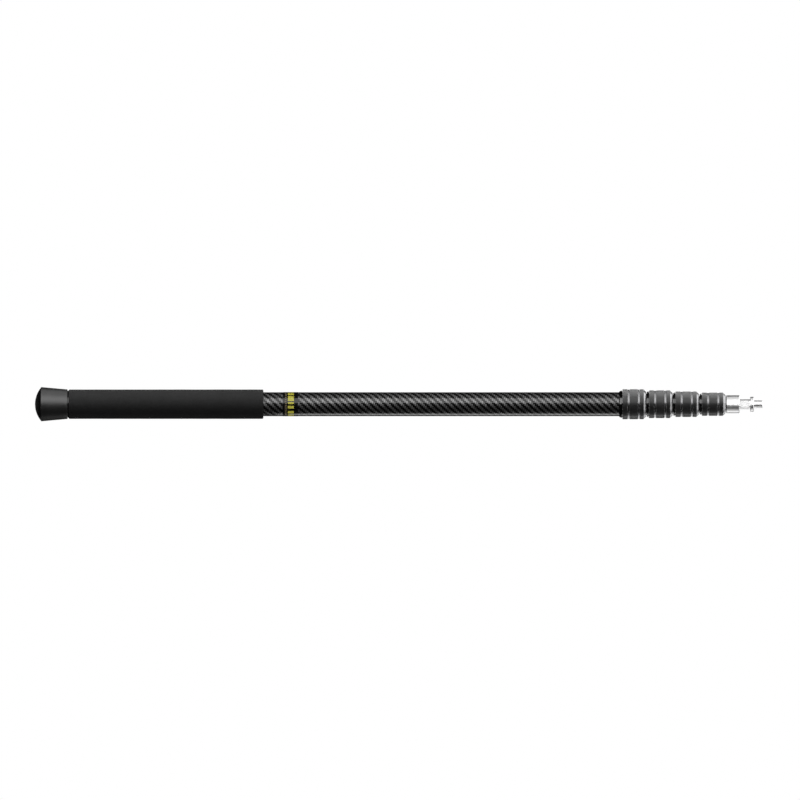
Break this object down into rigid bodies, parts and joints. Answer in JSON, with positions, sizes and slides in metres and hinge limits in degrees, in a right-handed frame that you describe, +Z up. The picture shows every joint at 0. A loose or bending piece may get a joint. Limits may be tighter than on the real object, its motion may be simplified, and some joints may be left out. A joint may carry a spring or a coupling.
{
  "type": "telescopic boom pole",
  "caption": "Telescopic carbon-fibre boom pole with twist locks, a foam grip with a screw-off end cap, and a quick-release steel tip.",
  "frame": {"origin": "on the pole's axis, at the middle of the foam grip", "axes": "+X along the pole from the end cap to the tip, +Z up as the pole is held level"},
  "size_m": [0.7977, 0.0376, 0.0376],
  "materials": {
    "carbon": "carbon-fibre twill under clear gloss lacquer",
    "foam": "closed-cell foam, matt, fine grain",
    "black_metal": "gloss black anodised",
    "grey_metal": "satin dark grey anodised",
    "bright_metal": "bright turned",
    "steel": "polished stainless steel, turned",
    "rubber": "moulded, semi-matt",
    "nylon": "natural nylon",
    "band_print": "gloss black film with yellow marks"
  },
  "bodies": {
    "handle": {"base_ferrule": "black_metal", "tube_1": "carbon", "foam_grip": "foam", "marking_band": "band_print", "lock_ferrule_1": "black_metal"},
    "cap_seal_carrier": {"cap_seal": "rubber"},
    "cap": {"end_cap": "grey_metal", "cap_bumper": "rubber"},
    "lock_1_collet": {"collet_1": "nylon"},
    "lock_1_collar": {"lock_collar_1": "bright_metal", "collar_grips_1": "rubber"},
    "section_2": {"tube_2": "carbon", "guide_shims_2": "nylon", "lock_ferrule_2": "black_metal"},
    "lock_2_collet": {"collet_2": "nylon"},
    "lock_2_collar": {"lock_collar_2": "bright_metal", "collar_grips_2": "rubber"},
    "section_3": {"tube_3": "carbon", "guide_shims_3": "nylon", "lock_ferrule_3": "black_metal"},
    "lock_3_collet": {"collet_3": "nylon"},
    "lock_3_collar": {"lock_collar_3": "bright_metal", "collar_grips_3": "rubber"},
    "section_4": {"tube_4": "carbon", "guide_shims_4": "nylon", "lock_ferrule_4": "black_metal"},
    "lock_4_collet": {"collet_4": "nylon"},
    "lock_4_collar": {"lock_collar_4": "bright_metal", "collar_grips_4": "rubber"},
    "section_5": {"tube_5": "carbon", "guide_shims_5": "nylon", "tip_plug": "bright_metal", "quick_release_tip": "steel"}
  },
  "joints": [
    {"name": "cap_travel", "type": "slide", "parent": "handle", "child": "cap_seal_carrier", "axis": [-1, 0, 0], "range_m": [0, 0.0106]},
    {"name": "cap_turn", "type": "hinge", "parent": "cap_seal_carrier", "child": "cap", "pos_m": [-0.13695, 0, 0], "axis": [-1, 0, 0], "range_deg": [0, 2520]},
    {"name": "lock_1_travel", "type": "slide", "parent": "handle", "child": "lock_1_collet", "axis": [1, 0, 0], "range_m": [0, 0.00051]},
    {"name": "lock_1_turn", "type": "hinge", "parent": "lock_1_collet", "child": "lock_1_collar", "pos_m": [0.5135, 0, 0], "axis": [1, 0, 0], "range_deg": [0, 120]},
    {"name": "section_2_slide", "type": "slide", "parent": "handle", "child": "section_2", "axis": [1, 0, 0], "range_m": [0, 0.55]},
    {"name": "lock_2_travel", "type": "slide", "parent": "section_2", "child": "lock_2_collet", "axis": [1, 0, 0], "range_m": [0, 0.00051]},
    {"name": "lock_2_turn", "type": "hinge", "parent": "lock_2_collet", "child": "lock_2_collar", "pos_m": [0.54255, 0, 0], "axis": [1, 0, 0], "range_deg": [0, 120]},
    {"name": "section_3_slide", "type": "slide", "parent": "section_2", "child": "section_3", "axis": [1, 0, 0], "range_m": [0, 0.55]},
    {"name": "lock_3_travel", "type": "slide", "parent": "section_3", "child": "lock_3_collet", "axis": [1, 0, 0], "range_m": [0, 0.00051]},
    {"name": "lock_3_turn", "type": "hinge", "parent": "lock_3_collet", "child": "lock_3_collar", "pos_m": [0.5716, 0, 0], "axis": [1, 0, 0], "range_deg": [0, 120]},
    {"name": "section_4_slide", "type": "slide", "parent": "section_3", "child": "section_4", "axis": [1, 0, 0], "range_m": [0, 0.55]},
    {"name": "lock_4_travel", "type": "slide", "parent": "section_4", "child": "lock_4_collet", "axis": [1, 0, 0], "range_m": [0, 0.00051]},
    {"name": "lock_4_turn", "type": "hinge", "parent": "lock_4_collet", "child": "lock_4_collar", "pos_m": [0.60065, 0, 0], "axis": [1, 0, 0], "range_deg": [0, 120]},
    {"name": "section_5_slide", "type": "slide", "parent": "section_4", "child": "section_5", "axis": [1, 0, 0], "range_m": [0, 0.55]}
  ],
  "couplings": [
    {"joint": "cap_travel", "follows": "cap_turn", "m_per_rad": 0.00023873},
    {"joint": "lock_1_travel", "follows": "lock_1_turn", "m_per_rad": 0.00023873},
    {"joint": "lock_2_travel", "follows": "lock_2_turn", "m_per_rad": 0.00023873},
    {"joint": "lock_3_travel", "follows": "lock_3_turn", "m_per_rad": 0.00023873},
    {"joint": "lock_4_travel", "follows": "lock_4_turn", "m_per_rad": 0.00023873}
  ]
}
